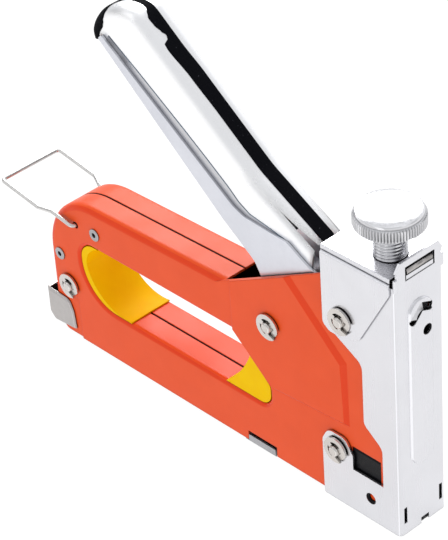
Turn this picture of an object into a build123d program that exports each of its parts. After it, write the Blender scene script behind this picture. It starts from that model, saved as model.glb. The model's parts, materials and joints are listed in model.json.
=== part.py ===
from build123d import *
import os
from math import atan2, cos, degrees, radians, sin

# Hand staple gun.  Millimetres, +Z up, +X towards the nose, mirror plane y = 0.
# The origin is on the sole of the nose, just behind the slot that the staple leaves by.

os.makedirs("parts", exist_ok=True)

# ---------------------------------------------------------------- driving dimensions
FRONT_X = 4.0            # outer face of the nose's front plate
NOSE_HALF = 11.0         # half the width of the nose cover
NOSE_T = 0.9             # sheet of the nose cover and the nose cap
NOSE_TOP = 109.0
BODY_HALF = 9.8          # half the width of the two body shells together
SHEET = 0.9              # sheet of the body shells
SEAM = 0.12              # each shell stops this far from the mirror plane
BODY_BOTTOM = 1.0
BEAM_TOP = 65.5
BEAM_END_X = -76.0       # the hand beam is open here, for the lever
PANEL_RISE = 0.8         # the pressed panel round the pivot stands this proud
CAP_TOP = 101.5
TOP_PLATE_T = 1.6

PIN_R = 2.0
PIN_FIT = 0.05           # radial clearance of a pin in its hole
PIVOT = (-54.3, 57.8)    # pin centres, as (x, z)
CAP_PIN = (-19.1, 78.1)
LOWER_PIN = (-24.4, 22.1)
REAR_PIN = (-160.5, 23.3)
BAIL_HOLE = (-153.6, 52.8)
BAIL_HOLE_R = 1.3
BAIL_WIRE_R = 0.75
RIVETS = [(-143.3, 53.2), (-164.3, 35.7)]
RIVET_R = 1.6

PLUNGER_X = -8.0         # axis of the main spring, the striker and the adjuster
STRIKER_BOTTOM = 44.0
STRIKER_TOP = 54.0
SEAT_BOTTOM = 94.0
SEAT_TOP = 97.0
SHANK_R = 5.6
KNOB_R = 11.85
KNOB_BOTTOM = 114.0
KNOB_TOP = 120.3

ARM_HALF = 8.3           # outer faces of the lever arm
ARM_T = 1.0
CROWN_HALF = 2.7         # half the width of the grip strip

TRACK_HALF = 8.0         # staple track
TRACK_TOP = 14.6
TRACK_REAR_X = -164.0
GUIDE_REAR_X = -12.0
GUIDE_FRONT_X = 1.3
BLADE_X = (1.6, 2.8)
STAPLE_REAR_X = -45.0
LATCH_REAR_X = -174.4


def save(solid, name):
    """Label a finished piece and write its STEP file."""
    solid.label = name
    export_step(solid, "parts/" + name + ".step")


def side_plane(y):
    """XZ plane at this y, with its normal towards -Y."""
    return Plane.XZ.offset(-y)


def nearest_corner(sketch, point):
    """The sketch corner nearest to this point."""
    return sketch.vertices().sort_by(lambda v: (Vector(*point) - Vector(v.X, v.Y)).length)[0]


def rounded_polygon(points, rounds, grow=0.0, mode=Mode.ADD):
    """A closed outline with its own radius at each corner, grown by a margin."""
    with BuildSketch(mode=Mode.PRIVATE) as outline:
        Polygon(*points, align=None)
        for point, radius in zip(points, rounds):
            if radius:
                fillet(nearest_corner(outline, point), radius)
        if grow:
            offset(amount=grow)
    add(outline.sketch, mode=mode)


# ---------------------------------------------------------------- body shells
BODY_OUTLINE = [
    (-167.0, BODY_BOTTOM), (-170.0, 22.0), (-170.0, 62.6), (BEAM_END_X, BEAM_TOP),
    (-28.0, 91.3), (-28.0, 100.0), (-1.0, 100.0), (-1.0, BODY_BOTTOM),
]
REAR_ROUND = 26.0
BODY_ROUNDS = [3.0, 0, REAR_ROUND, 0, 0, 0, 0, 0]
CAVITY = [
    (-166.2, -5.0), (-169.1, 21.0), (-169.1, 61.7), (BEAM_END_X + 0.01, BEAM_TOP - SHEET),
    (BEAM_END_X + 0.01, 130.0), (20.0, 130.0), (20.0, -5.0),
]
CAVITY_ROUNDS = [0, 0, REAR_ROUND - SHEET, 0, 0, 0, 0]
LOOP = [(-152.8, 46.2), (-152.8, 21.3), (-57.0, 21.3), (-57.0, 30.0), (-73.3, 46.2)]
LOOP_ROUNDS = [7.0, 17.0, 5.0, 3.0, 3.0]
RIM_ROUND = 2.6
LOOP_RIM_ROUND = 1.8
SEAM_ROUND = 0.5
PANEL_FOOT = [(-73.6, 46.4), (-73.6, 66.8), (-43.0, 83.2), (-18.5, 60.0), (-18.5, 33.2), (-55.0, 30.6)]
PANEL_FACE = [(-72.8, 47.2), (-72.8, 67.2), (-46.5, 81.3), (-22.0, 58.0), (-21.0, 34.5), (-55.4, 31.8)]
CLIP_NOTCH = (-69.0, -55.0, 5.0)       # notch in the lower edge: rear x, front x, top z
WINDOW = (-18.4, -5.4, 26.0)           # window over the bumper block: rear x, front x, top z
LATCH_RECESS = (-156.5, 19.0)          # step for the loader latch: front x, top z
LATCH_STEP = 0.6


def build_shell():
    """The shell on the -Y side: a tray whose rim turns in to the mirror plane."""
    with BuildPart() as shell:
        with BuildSketch(side_plane(-SEAM)):
            rounded_polygon(BODY_OUTLINE, BODY_ROUNDS)
            rounded_polygon(LOOP, LOOP_ROUNDS, mode=Mode.SUBTRACT)
        extrude(amount=BODY_HALF - SEAM)
        rim = shell.faces().sort_by(Axis.Y)[0].edges()
        loop_rim = rim.filter_by(lambda e: 20 < e.center().Z < 47 and -160 < e.center().X < -50)
        outer_rim = rim.filter_by(lambda e: e.center().Z > 24 and e.center().X < BEAM_END_X)
        outer_rim = outer_rim.filter_by(lambda e: e.center().Z > 47 or e.center().X < -160)
        fillet(loop_rim, LOOP_RIM_ROUND)
        fillet(outer_rim, RIM_ROUND)
        # the seam edges are rolled over, which leaves a groove between the two shells
        seam = shell.faces().sort_by(Axis.Y)[-1].edges()
        seam_loop = seam.filter_by(lambda e: 20 < e.center().Z < 47 and -160 < e.center().X < -50)
        seam_rim = seam.filter_by(lambda e: e.center().Z > 24 and e.center().X < BEAM_END_X)
        seam_rim = seam_rim.filter_by(lambda e: e.center().Z > 47 or e.center().X < -160)
        fillet(seam_loop, SEAM_ROUND)
        fillet(seam_rim, SEAM_ROUND)
        with BuildSketch(side_plane(1.0)):
            rounded_polygon(CAVITY, CAVITY_ROUNDS)
            rounded_polygon(LOOP, LOOP_ROUNDS, grow=SHEET, mode=Mode.SUBTRACT)
        extrude(amount=1.0 + BODY_HALF - SHEET, mode=Mode.SUBTRACT)
        # raised panel round the lever pivot, with wide sloping borders
        with BuildSketch(side_plane(-BODY_HALF + 0.3)):
            Polygon(*PANEL_FOOT, align=None)
        with BuildSketch(side_plane(-BODY_HALF - PANEL_RISE)):
            Polygon(*PANEL_FACE, align=None)
        loft()
        # the free edge that the lever comes out past is cut straight
        with BuildSketch(side_plane(0)):
            Polygon(BODY_OUTLINE[3], BODY_OUTLINE[4], (-28.0, 110.0), (-90.0, 110.0), align=None)
        extrude(amount=20.0, mode=Mode.SUBTRACT)
        # step in the side wall that the loader latch slides over
        with BuildSketch(side_plane(-BODY_HALF + SHEET + LATCH_STEP)):
            Polygon((-166.2, BODY_BOTTOM), (-168.9, LATCH_RECESS[1] + 1),
                    (LATCH_RECESS[0] + 1, LATCH_RECESS[1] + 1),
                    (LATCH_RECESS[0] + 1, BODY_BOTTOM), align=None)
        extrude(amount=LATCH_STEP)
        with BuildSketch(side_plane(-BODY_HALF + LATCH_STEP)):
            with Locations((LATCH_RECESS[0] - 10.0, LATCH_RECESS[1] / 2)):
                Rectangle(20.0, LATCH_RECESS[1])
        extrude(amount=2.0, mode=Mode.SUBTRACT)
        # way out for the loader between the side walls
        with BuildSketch(Plane.YZ.offset(-175.0)):
            Rectangle(2 * (BODY_HALF - SHEET - LATCH_STEP), 2 * 18.2)
        extrude(amount=9.4, mode=Mode.SUBTRACT)
        # notch for the track clip, window, and the holes for pins, rivets and the bail
        with BuildSketch(side_plane(0)):
            with Locations(((CLIP_NOTCH[0] + CLIP_NOTCH[1]) / 2, 0)):
                Rectangle(CLIP_NOTCH[1] - CLIP_NOTCH[0], 2 * CLIP_NOTCH[2])
            with Locations(((WINDOW[0] + WINDOW[1]) / 2, WINDOW[2] - 5.0)):
                Rectangle(WINDOW[1] - WINDOW[0], 10.0)
            with Locations(PIVOT, CAP_PIN, LOWER_PIN, REAR_PIN):
                Circle(PIN_R + PIN_FIT)
            with Locations(*RIVETS):
                Circle(RIVET_R + PIN_FIT)
            with Locations(BAIL_HOLE):
                Circle(BAIL_HOLE_R)
        extrude(amount=20.0, mode=Mode.SUBTRACT)
    return shell.part


shell = build_shell()
save(shell, "left_shell")
save(mirror(shell, about=Plane.XZ), "right_shell")


# ---------------------------------------------------------------- nose cover
COVER_SIDE = [
    (FRONT_X, 0.0), (-31.0, 0.0), (-31.0, 23.5), (-28.4, 28.3), (-20.6, 28.3), (-17.2, 22.8), (-17.2, 17.3),
    (-3.4, 17.3), (-3.4, 33.3), (-11.4, 39.6), (-11.4, 63.8), (-26.0, 72.0), (-26.0, 100.3), (FRONT_X, 100.3),
]
COVER_ROUNDS = [0, 0.8, 3.6, 3.4, 3.6, 1.0, 0, 0, 4.0, 3.0, 4.5, 1.0, 0, 0]
BEND_R = 1.8
RIB_HALF = 5.4           # long rib pressed forward in the front plate
RIB_Z = (26.0, 92.0)
RIB_RISE = 0.7
FRONT_TAB = [
    (-NOSE_HALF, 99.0), (-NOSE_HALF, 103.6), (-10.0, 103.6), (-10.0, 105.4), (-10.6, 106.0), (-8.6, NOSE_TOP),
]
SLOT = (0.4, 104.0, 13.4, 5.2)         # slot for the top plate's tab: y, z, width, height
EYE = (2.7, 78.6, 2.0)                 # round hole in the front plate: y, z, radius
HOOK_SLOT = [(-3.6, 84.8), (0.2, 88.6), (4.2, 87.0)]
HOOK_SLOT_W = 3.2
SIDE_SLOTS_Y = 8.4
SIDE_HOLE = (-9.3, 9.2)

with BuildPart() as nose_cover:
    with BuildSketch(Plane.XY):
        with Locations((FRONT_X - 20.0, 0)):
            Rectangle(40.0, 2 * NOSE_HALF)
    extrude(amount=100.3)
    fillet(nose_cover.edges().filter_by(Axis.Z).group_by(Axis.X)[-1], BEND_R)
    with BuildSketch(Plane.YZ.offset(FRONT_X)):
        with Locations((0, (RIB_Z[0] + RIB_Z[1]) / 2)):
            SlotOverall(RIB_Z[1] - RIB_Z[0], 2 * RIB_HALF, rotation=90)
    extrude(amount=RIB_RISE, taper=30)
    with BuildSketch(Plane.XY):
        with Locations((FRONT_X - NOSE_T - 20.0, 0)):
            Rectangle(40.0, 2 * (NOSE_HALF - NOSE_T))
    extrude(amount=120.0, mode=Mode.SUBTRACT)
    with BuildSketch(Plane.YZ.offset(FRONT_X - NOSE_T)):
        with Locations((0, (RIB_Z[0] + RIB_Z[1]) / 2)):
            SlotOverall(RIB_Z[1] - RIB_Z[0] - 2.0, 2 * RIB_HALF - 2.0, rotation=90)
    extrude(amount=RIB_RISE, mode=Mode.SUBTRACT)
    # the front plate stands up above the cap
    with BuildSketch(Plane.YZ.offset(FRONT_X - NOSE_T)):
        Polygon(*FRONT_TAB, *[(-y, z) for y, z in reversed(FRONT_TAB)], align=None)
    extrude(amount=NOSE_T)
    # side outline with the two lobes round the pins
    with BuildSketch(side_plane(-NOSE_HALF - 1.0)):
        with Locations((-20.0, 50.0)):
            Rectangle(60.0, 140.0)
        rounded_polygon(COVER_SIDE, COVER_ROUNDS, mode=Mode.SUBTRACT)
        with Locations((FRONT_X + 3.0, 50.0)):
            Rectangle(8.2, 140.0, mode=Mode.SUBTRACT)
        with Locations(CAP_PIN, LOWER_PIN):
            Circle(PIN_R + PIN_FIT)
        with Locations(SIDE_HOLE):
            Circle(2.2)
    extrude(amount=-2 * NOSE_HALF - 2.0, mode=Mode.SUBTRACT)
    # openings in the front plate
    with BuildSketch(Plane.YZ.offset(FRONT_X - NOSE_T - 1.0)):
        with Locations((SLOT[0], SLOT[1])):
            Rectangle(SLOT[2], SLOT[3])
        with Locations((EYE[0], EYE[1])):
            Circle(EYE[2])
        with Locations((0.8, 0.0)):
            Rectangle(3.8, 5.0)
        with Locations((-SIDE_SLOTS_Y, 8.0), (SIDE_SLOTS_Y, 8.0)):
            Rectangle(1.5, 6.6)
    extrude(amount=4.0, mode=Mode.SUBTRACT)
    with BuildSketch(Plane.YZ.offset(FRONT_X - NOSE_T - 1.0)):
        for start, end in zip(HOOK_SLOT, HOOK_SLOT[1:]):
            leg = Vector(*end) - Vector(*start)
            with Locations(Vector(*start) + leg * 0.5):
                SlotCenterToCenter(leg.length, HOOK_SLOT_W, rotation=degrees(atan2(leg.Y, leg.X)))
    extrude(amount=4.0, mode=Mode.SUBTRACT)
save(nose_cover.part, "nose_cover")

# ---------------------------------------------------------------- nose cap and top plate
FLAP = [
    (-27.5, CAP_TOP), (-27.5, 73.6), (-24.6, 71.4), (-17.6, 71.4), (-11.5, 74.0), (2.0, 97.6), (2.0, CAP_TOP),
]
FLAP_ROUNDS = [0, 2.5, 2.0, 3.0, 1.5, 1.0, 0]
CAP_HALF = NOSE_HALF + 0.05 + NOSE_T

with BuildPart() as nose_cap:
    with BuildSketch(side_plane(CAP_HALF)):
        rounded_polygon(FLAP, FLAP_ROUNDS)
    extrude(amount=2 * CAP_HALF)
    fillet(nose_cap.edges().filter_by(Axis.X).group_by(Axis.Z)[-1], 0.8)
    with BuildSketch(Plane.YZ.offset(-40.0)):
        Rectangle(2 * (NOSE_HALF + 0.05), 2 * (CAP_TOP - NOSE_T))
    extrude(amount=60.0, mode=Mode.SUBTRACT)
    with BuildSketch(Plane.XY.offset(90.0)):
        with Locations((FRONT_X - 2.0, 0)):
            Rectangle(4.0, 2 * (NOSE_HALF + 0.05))
        with Locations((PLUNGER_X, 0)):
            Circle(SHANK_R + 0.6)
    extrude(amount=20.0, mode=Mode.SUBTRACT)
    with BuildSketch(side_plane(20.0)):
        with Locations(CAP_PIN):
            Circle(PIN_R + PIN_FIT)
    extrude(amount=40.0, mode=Mode.SUBTRACT)
save(nose_cap.part, "nose_cap")

TOP_PLATE_Z = CAP_TOP + 0.15
with BuildPart() as top_plate:
    with BuildSketch(Plane.XY.offset(TOP_PLATE_Z)):
        with Locations(((1.6 - 28.0) / 2, 0)):
            Rectangle(29.6, 2 * NOSE_HALF)
        with Locations((FRONT_X - 1.8, SLOT[0])):
            Rectangle(3.4, SLOT[2] - 1.2)
        with Locations((PLUNGER_X, 0)):
            Circle(SHANK_R + 0.07, mode=Mode.SUBTRACT)
    extrude(amount=TOP_PLATE_T)
    fillet(top_plate.edges().group_by(Axis.Z)[-1].filter_by(Axis.X).sort_by(Axis.Y)[0], 0.5)
    fillet(top_plate.edges().group_by(Axis.Z)[-1].filter_by(Axis.X).sort_by(Axis.Y)[-1], 0.5)
save(top_plate.part, "top_plate")

# ---------------------------------------------------------------- adjuster
with BuildPart() as adjuster_screw:
    with BuildSketch(Plane.XY.offset(SEAT_TOP)):
        with Locations((PLUNGER_X, 0)):
            Circle(SHANK_R)
    extrude(amount=KNOB_BOTTOM + 3.0 - SEAT_TOP)
    chamfer(adjuster_screw.edges().group_by(Axis.Z)[0], 0.8)
save(adjuster_screw.part, "adjuster_screw")

with BuildPart() as adjuster_knob:
    with BuildSketch(Plane.XY.offset(KNOB_BOTTOM)):
        with Locations((PLUNGER_X, 0)):
            Circle(KNOB_R)
    extrude(amount=KNOB_TOP - KNOB_BOTTOM)
    chamfer(adjuster_knob.edges().group_by(Axis.Z)[-1], 0.9)
    chamfer(adjuster_knob.edges().group_by(Axis.Z)[0], 0.5)
    with BuildSketch(Plane.XY.offset(KNOB_BOTTOM)):
        with Locations((PLUNGER_X, 0)):
            Circle(SHANK_R)
    extrude(amount=3.0, mode=Mode.SUBTRACT)
save(adjuster_knob.part, "adjuster_knob")

with BuildPart() as spring_seat:
    with BuildSketch(Plane.XY.offset(SEAT_BOTTOM)):
        with Locations((PLUNGER_X, 0)):
            Circle(6.8)
    extrude(amount=SEAT_TOP - SEAT_BOTTOM)
    with BuildSketch(Plane.XY.offset(SEAT_BOTTOM - 4.0)):
        with Locations((PLUNGER_X, 0)):
            Circle(3.4)
    extrude(amount=4.0)
save(spring_seat.part, "spring_seat")


def coil(start, axis, length, radius, wire_r, turns):
    """A round-wire compression spring along this axis."""
    path = Helix(pitch=length / turns, height=length, radius=radius, center=(0, 0, 0), direction=(0, 0, 1))
    with BuildPart() as spring:
        with BuildLine():
            add(path)
        with BuildSketch(Plane(origin=path @ 0, z_dir=path % 0)):
            Circle(wire_r)
        sweep(is_frenet=True)
    return Plane(origin=start, z_dir=axis).location * spring.part


MAIN_WIRE_R = 0.9
main_spring = coil((PLUNGER_X, 0, STRIKER_TOP + MAIN_WIRE_R + 0.1), (0, 0, 1),
                   SEAT_BOTTOM - STRIKER_TOP - 2 * MAIN_WIRE_R - 0.2, 5.4, MAIN_WIRE_R, 8)
save(main_spring, "main_spring")

# ---------------------------------------------------------------- striker and blade
TANG_BOTTOM = 49.4
TANG_REAR_X = -27.0
with BuildPart() as striker:
    with BuildSketch(Plane.XY.offset(STRIKER_BOTTOM)):
        with Locations((PLUNGER_X, 0)):
            Circle(6.8)
        with Locations(((PLUNGER_X + BLADE_X[0]) / 2, 0)):
            Rectangle(BLADE_X[0] - PLUNGER_X, 11.6)
    extrude(amount=STRIKER_TOP - STRIKER_BOTTOM)
    with BuildSketch(Plane.XY.offset(TANG_BOTTOM)):
        with Locations(((PLUNGER_X + TANG_REAR_X) / 2, 0)):
            Rectangle(PLUNGER_X - TANG_REAR_X, 6.0)
    extrude(amount=STRIKER_TOP - TANG_BOTTOM)
    with BuildSketch(Plane.XY.offset(STRIKER_TOP)):
        with Locations((PLUNGER_X, 0)):
            Circle(3.6)
    extrude(amount=5.0)
    fillet(striker.edges().group_by(Axis.Z)[-1], 0.8)
save(striker.part, "striker")

with BuildPart() as driver_blade:
    with BuildSketch(Plane.YZ.offset(BLADE_X[0])):
        with Locations((0, 28.0)):
            Rectangle(12.4, 55.2)
    extrude(amount=BLADE_X[1] - BLADE_X[0])
    chamfer(driver_blade.edges().filter_by(Axis.X).group_by(Axis.Z)[-1], 1.5)
save(driver_blade.part, "driver_blade")

with BuildPart() as window_block:
    with BuildSketch(Plane.XY.offset(15.4)):
        with Locations(((WINDOW[0] + WINDOW[1]) / 2, 0)):
            Rectangle(WINDOW[1] - WINDOW[0] - 0.4, 2 * (BODY_HALF - SHEET) - 0.2)
    extrude(amount=WINDOW[2] - 15.4 + 1.5)
    with BuildSketch(Plane.XY.offset(16.2)):
        with Locations(((WINDOW[0] + WINDOW[1]) / 2, 0)):
            Rectangle(WINDOW[1] - WINDOW[0] - 0.6, 2 * BODY_HALF - 0.5)
    extrude(amount=WINDOW[2] - 0.6 - 16.2)
    chamfer(window_block.edges().filter_by(Axis.X).group_by(Axis.Y)[0].sort_by(Axis.Z)[-1], 0.6)
    chamfer(window_block.edges().filter_by(Axis.X).group_by(Axis.Y)[-1].sort_by(Axis.Z)[-1], 0.6)
save(window_block.part, "window_block")

with BuildPart() as bumper:
    with BuildSketch(Plane.XY.offset(WINDOW[2] + 1.6)):
        with Locations((PLUNGER_X - 1.5, 0)):
            Circle(5.2)
            Circle(2.0, mode=Mode.SUBTRACT)
    extrude(amount=STRIKER_BOTTOM - 0.2 - WINDOW[2] - 1.6)
    fillet(bumper.edges().group_by(Axis.Z)[-1], 0.8)
save(bumper.part, "bumper")

# ---------------------------------------------------------------- staple track and loader
RAIL_FLOOR = (1.0, 1.8)
RAIL_TOP = 10.9
with BuildPart() as staple_guide:
    with BuildSketch(Plane.YZ.offset(GUIDE_REAR_X)):
        with Locations((0, 7.4)):
            Rectangle(2 * (BODY_HALF - SHEET) - 0.2, 14.8)
        with Locations((0, (0.9 + 13.6) / 2)):
            Rectangle(13.8, 13.6 - 0.9, mode=Mode.SUBTRACT)
    extrude(amount=GUIDE_FRONT_X - GUIDE_REAR_X)
    with BuildSketch(Plane.XY.offset(0.0)):
        wing_x = (GUIDE_REAR_X - 1.2) / 2
        with Locations((wing_x, BODY_HALF - 0.4), (wing_x, -BODY_HALF + 0.4)):
            Rectangle(-GUIDE_REAR_X - 1.2, 1.4)
    extrude(amount=BODY_BOTTOM - 0.1)
save(staple_guide.part, "staple_guide")

with BuildPart() as staple_track:
    with BuildSketch(Plane.YZ.offset(TRACK_REAR_X)):
        with Locations((0, (1.2 + TRACK_TOP) / 2)):
            Rectangle(2 * TRACK_HALF, TRACK_TOP - 1.2)
        with Locations((0, 6.9)):
            Rectangle(2 * TRACK_HALF - 1.6, 13.8, mode=Mode.SUBTRACT)
    extrude(amount=GUIDE_REAR_X - 0.1 - TRACK_REAR_X)
save(staple_track.part, "staple_track")

with BuildPart() as track_clip:
    with BuildSketch(Plane.YZ.offset(CLIP_NOTCH[0] - 1.6)):
        with Locations((0, 1.7)):
            Rectangle(2 * BODY_HALF, 3.2)
    extrude(amount=CLIP_NOTCH[1] - CLIP_NOTCH[0] + 0.6)
    fillet(track_clip.edges().filter_by(Axis.X).group_by(Axis.Z)[0], 0.9)
    with BuildSketch(Plane.YZ.offset(CLIP_NOTCH[0] - 3.0)):
        with Locations((0, 2.4)):
            Rectangle(2 * BODY_HALF - 1.4, 3.2)
    extrude(amount=20.0, mode=Mode.SUBTRACT)
    with BuildSketch(Plane.XY.offset(BODY_BOTTOM - 0.1)):
        with Locations((CLIP_NOTCH[0] - 1.8, 0)):
            Rectangle(3.8, 30.0)
    extrude(amount=5.0, mode=Mode.SUBTRACT)
save(track_clip.part, "track_clip")

STAPLE_HALF = 5.9
STAPLE_WIRE = 0.7
STAPLE_Z = (3.2, 11.9)
with BuildPart() as staple_strip:
    with BuildSketch(Plane.YZ.offset(STAPLE_REAR_X)):
        with Locations((0, (STAPLE_Z[0] + STAPLE_Z[1]) / 2)):
            Rectangle(2 * STAPLE_HALF, STAPLE_Z[1] - STAPLE_Z[0])
        with Locations((0, STAPLE_Z[1] / 2 - STAPLE_WIRE)):
            Rectangle(2 * (STAPLE_HALF - STAPLE_WIRE), STAPLE_Z[1], mode=Mode.SUBTRACT)
    extrude(amount=BLADE_X[0] - 0.1 - STAPLE_REAR_X)
save(staple_strip.part, "staple_strip")

RAIL_HALF = 4.9
RAIL_WALL = 0.8
with BuildPart() as loader_rail:
    with BuildSketch(Plane.YZ.offset(LATCH_REAR_X + 6.0)):
        with Locations((0, (RAIL_FLOOR[0] + RAIL_TOP) / 2)):
            Rectangle(2 * RAIL_HALF, RAIL_TOP - RAIL_FLOOR[0])
        with Locations((0, RAIL_FLOOR[1] + 10.0)):
            Rectangle(2 * (RAIL_HALF - RAIL_WALL), 20.0, mode=Mode.SUBTRACT)
        with Locations((0, (RAIL_FLOOR[0] + RAIL_FLOOR[1]) / 2)):
            Rectangle(13.2, RAIL_FLOOR[1] - RAIL_FLOOR[0])
    extrude(amount=GUIDE_FRONT_X - 0.1 - LATCH_REAR_X - 6.0)
    with BuildSketch(Plane.YZ.offset(-3.0)):
        with Locations((0, 5.4)):
            Rectangle(2 * RAIL_HALF - 1.0, 8.0)
    extrude(amount=1.0)
save(loader_rail.part, "loader_rail")

ROD_R = 1.1
ROD_Z = 6.2
with BuildPart() as guide_rod:
    with BuildSketch(Plane.YZ.offset(LATCH_REAR_X + 4.0)):
        with Locations((0, ROD_Z)):
            Circle(ROD_R)
    extrude(amount=-3.1 - LATCH_REAR_X - 4.0)
save(guide_rod.part, "guide_rod")

PUSHER_LENGTH = 5.0
PUSHER_FRONT_X = STAPLE_REAR_X - 0.1
with BuildPart() as pusher:
    with BuildSketch(Plane.YZ.offset(PUSHER_FRONT_X - PUSHER_LENGTH)):
        with Locations((0, 6.8)):
            Rectangle(7.6, 9.0)
        with Locations((0, 12.0)):
            Rectangle(2 * STAPLE_HALF, 1.8)
        with Locations((0, ROD_Z)):
            Circle(ROD_R + 0.09, mode=Mode.SUBTRACT)
    extrude(amount=PUSHER_LENGTH)
save(pusher.part, "pusher")

FEED_WIRE_R = 0.35
FEED_REAR_X = LATCH_REAR_X + 6.5
pusher_spring = coil((FEED_REAR_X, 0, ROD_Z), (1, 0, 0), PUSHER_FRONT_X - PUSHER_LENGTH - 0.6 - FEED_REAR_X,
                     2.0, FEED_WIRE_R, 22)
save(pusher_spring, "pusher_spring")

with BuildPart() as loader_block:
    with BuildSketch(Plane.XY.offset(2.0)):
        with Locations((LATCH_REAR_X + 3.5, 0)):
            Rectangle(5.0, 2 * (BODY_HALF - SHEET - LATCH_STEP) - 0.5)
    extrude(amount=11.5)
    with BuildSketch(Plane.YZ.offset(LATCH_REAR_X + 4.0)):
        with Locations((0, ROD_Z)):
            Circle(ROD_R + 0.02)
    extrude(amount=4.0, mode=Mode.SUBTRACT)
save(loader_block.part, "loader_block")

LATCH_SIDE = [(-174.4, 16.4), (-162.6, 15.6), (-160.6, 11.0), (-159.8, 3.4), (-171.6, 2.4), (-174.4, 5.4)]
LATCH_ROUNDS = [0, 2.5, 6.0, 0.6, 2.0, 2.0]
LATCH_INNER = BODY_HALF - LATCH_STEP + 0.3
with BuildPart() as loader_latch:
    with BuildSketch(side_plane(LATCH_INNER + NOSE_T)):
        rounded_polygon(LATCH_SIDE, LATCH_ROUNDS)
    extrude(amount=2 * (LATCH_INNER + NOSE_T))
    fillet(loader_latch.edges().filter_by(Axis.Z).group_by(Axis.X)[0], 1.2)
    with BuildSketch(Plane.XY):
        with Locations((LATCH_REAR_X + NOSE_T + 20.0, 0)):
            Rectangle(40.0, 2 * LATCH_INNER)
    extrude(amount=40.0, mode=Mode.SUBTRACT)
save(loader_latch.part, "loader_latch")

# ---------------------------------------------------------------- lever
ARM_UPPER = [
    (-28.6, 87.0), (-36.0, 88.2), (-41.0, 90.8), (-46.0, 93.7), (-66.0, 95.0), (-71.0, 97.0), (-130.4, 138.6),
]
ARM_LOWER = [(-132.2, 137.0), (-76.5, 90.0), (-70.5, 85.6), (-62.0, 79.4), (-58.4, 73.0), (-62.6, 57.8)]
ARM_FRONT = [(-54.3, 49.4), (-45.9, 57.0)]
ARM_ROUNDS = [0, 0, 6.0, 3.0, 8.0, 10.0, 0.8, 0.8, 10.0, 8.0, 8.0, 8.0, 5.0, 5.0, 5.0]
ARM_WEB = [(-132.2, 137.0), (-83.3, 95.7), (-83.9, 96.6), (-131.6, 138.1)]    # joins the two sides below
ARM_OUTLINE = ARM_UPPER + ARM_LOWER + ARM_FRONT

with BuildPart() as lever_arm:
    with BuildSketch(side_plane(ARM_HALF)):
        rounded_polygon(ARM_OUTLINE, ARM_ROUNDS)
        with Locations(PIVOT):
            Circle(8.6)
    extrude(amount=2 * ARM_HALF)
    with BuildSketch(side_plane(ARM_HALF - ARM_T)):
        with Locations((-90.0, 90.0)):
            Rectangle(160.0, 160.0)
        Polygon(*ARM_WEB, align=None, mode=Mode.SUBTRACT)
    extrude(amount=2 * (ARM_HALF - ARM_T), mode=Mode.SUBTRACT)
    with BuildSketch(side_plane(20.0)):
        with Locations(PIVOT):
            Circle(PIN_R + 0.08)
    extrude(amount=40.0, mode=Mode.SUBTRACT)
save(lever_arm.part, "lever_arm")

SHELL_HALF = ARM_HALF - ARM_T - 0.05
SHELL_T = 0.8
SHOULDER_R = 3.9
CROWN_LOW = (-35.0, 96.4)
CROWN_BEND = (-62.0, 111.8)
CROWN_END = (-114.0, 151.9)
TIP_ARC = [CROWN_END, (-130.3, 147.9), (-137.7, 137.5)]
TIP_HEEL = (-136.4, 134.4)
SKIRT = [
    (-133.2, 136.4), (-131.0, 138.9), (-71.5, 93.6), (-66.5, 91.6), (-46.5, 90.4), (-36.5, 85.5),
]
UNDERSIDE = [(-133.4, 130.0), (-133.4, 137.4), (-131.4, 141.5), (-36.0, 96.6), (-30.0, 93.5), (-30.0, 80.0)]


def lever_dome(half, grow, shoulder):
    """The lever shell's rounded outer form, grown or shrunk square to its outline."""
    with BuildPart(mode=Mode.PRIVATE) as dome:
        with BuildSketch(side_plane(half)) as outline:
            with BuildLine():
                ThreePointArc(*TIP_ARC)
                Polyline(TIP_ARC[2], TIP_HEEL, *SKIRT, CROWN_LOW, CROWN_BEND, CROWN_END)
            make_face()
            fillet(nearest_corner(outline, CROWN_BEND), 30.0)
            fillet(nearest_corner(outline, CROWN_END), 7.0)
            fillet(nearest_corner(outline, TIP_ARC[2]), 3.0)
            if grow:
                offset(amount=grow, kind=Kind.INTERSECTION)
        extrude(amount=2 * half)
        upper = dome.edges().filter_by(lambda e: abs(e.center().X + 88.0) < 3 and e.center().Z > 125)
        fillet(upper.filter_by(lambda e: abs(abs(e.center().Y) - half) < 0.01), shoulder)
    return dome.part


with BuildPart() as lever_shell:
    add(lever_dome(SHELL_HALF, 0.0, SHOULDER_R))
    add(lever_dome(SHELL_HALF - SHELL_T, -SHELL_T, SHOULDER_R - SHELL_T), mode=Mode.SUBTRACT)
    with BuildSketch(side_plane(SHELL_HALF - SHELL_T)):
        Polygon(*UNDERSIDE, align=None)
    extrude(amount=2 * (SHELL_HALF - SHELL_T), mode=Mode.SUBTRACT)
save(lever_shell.part, "lever_shell")

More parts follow.
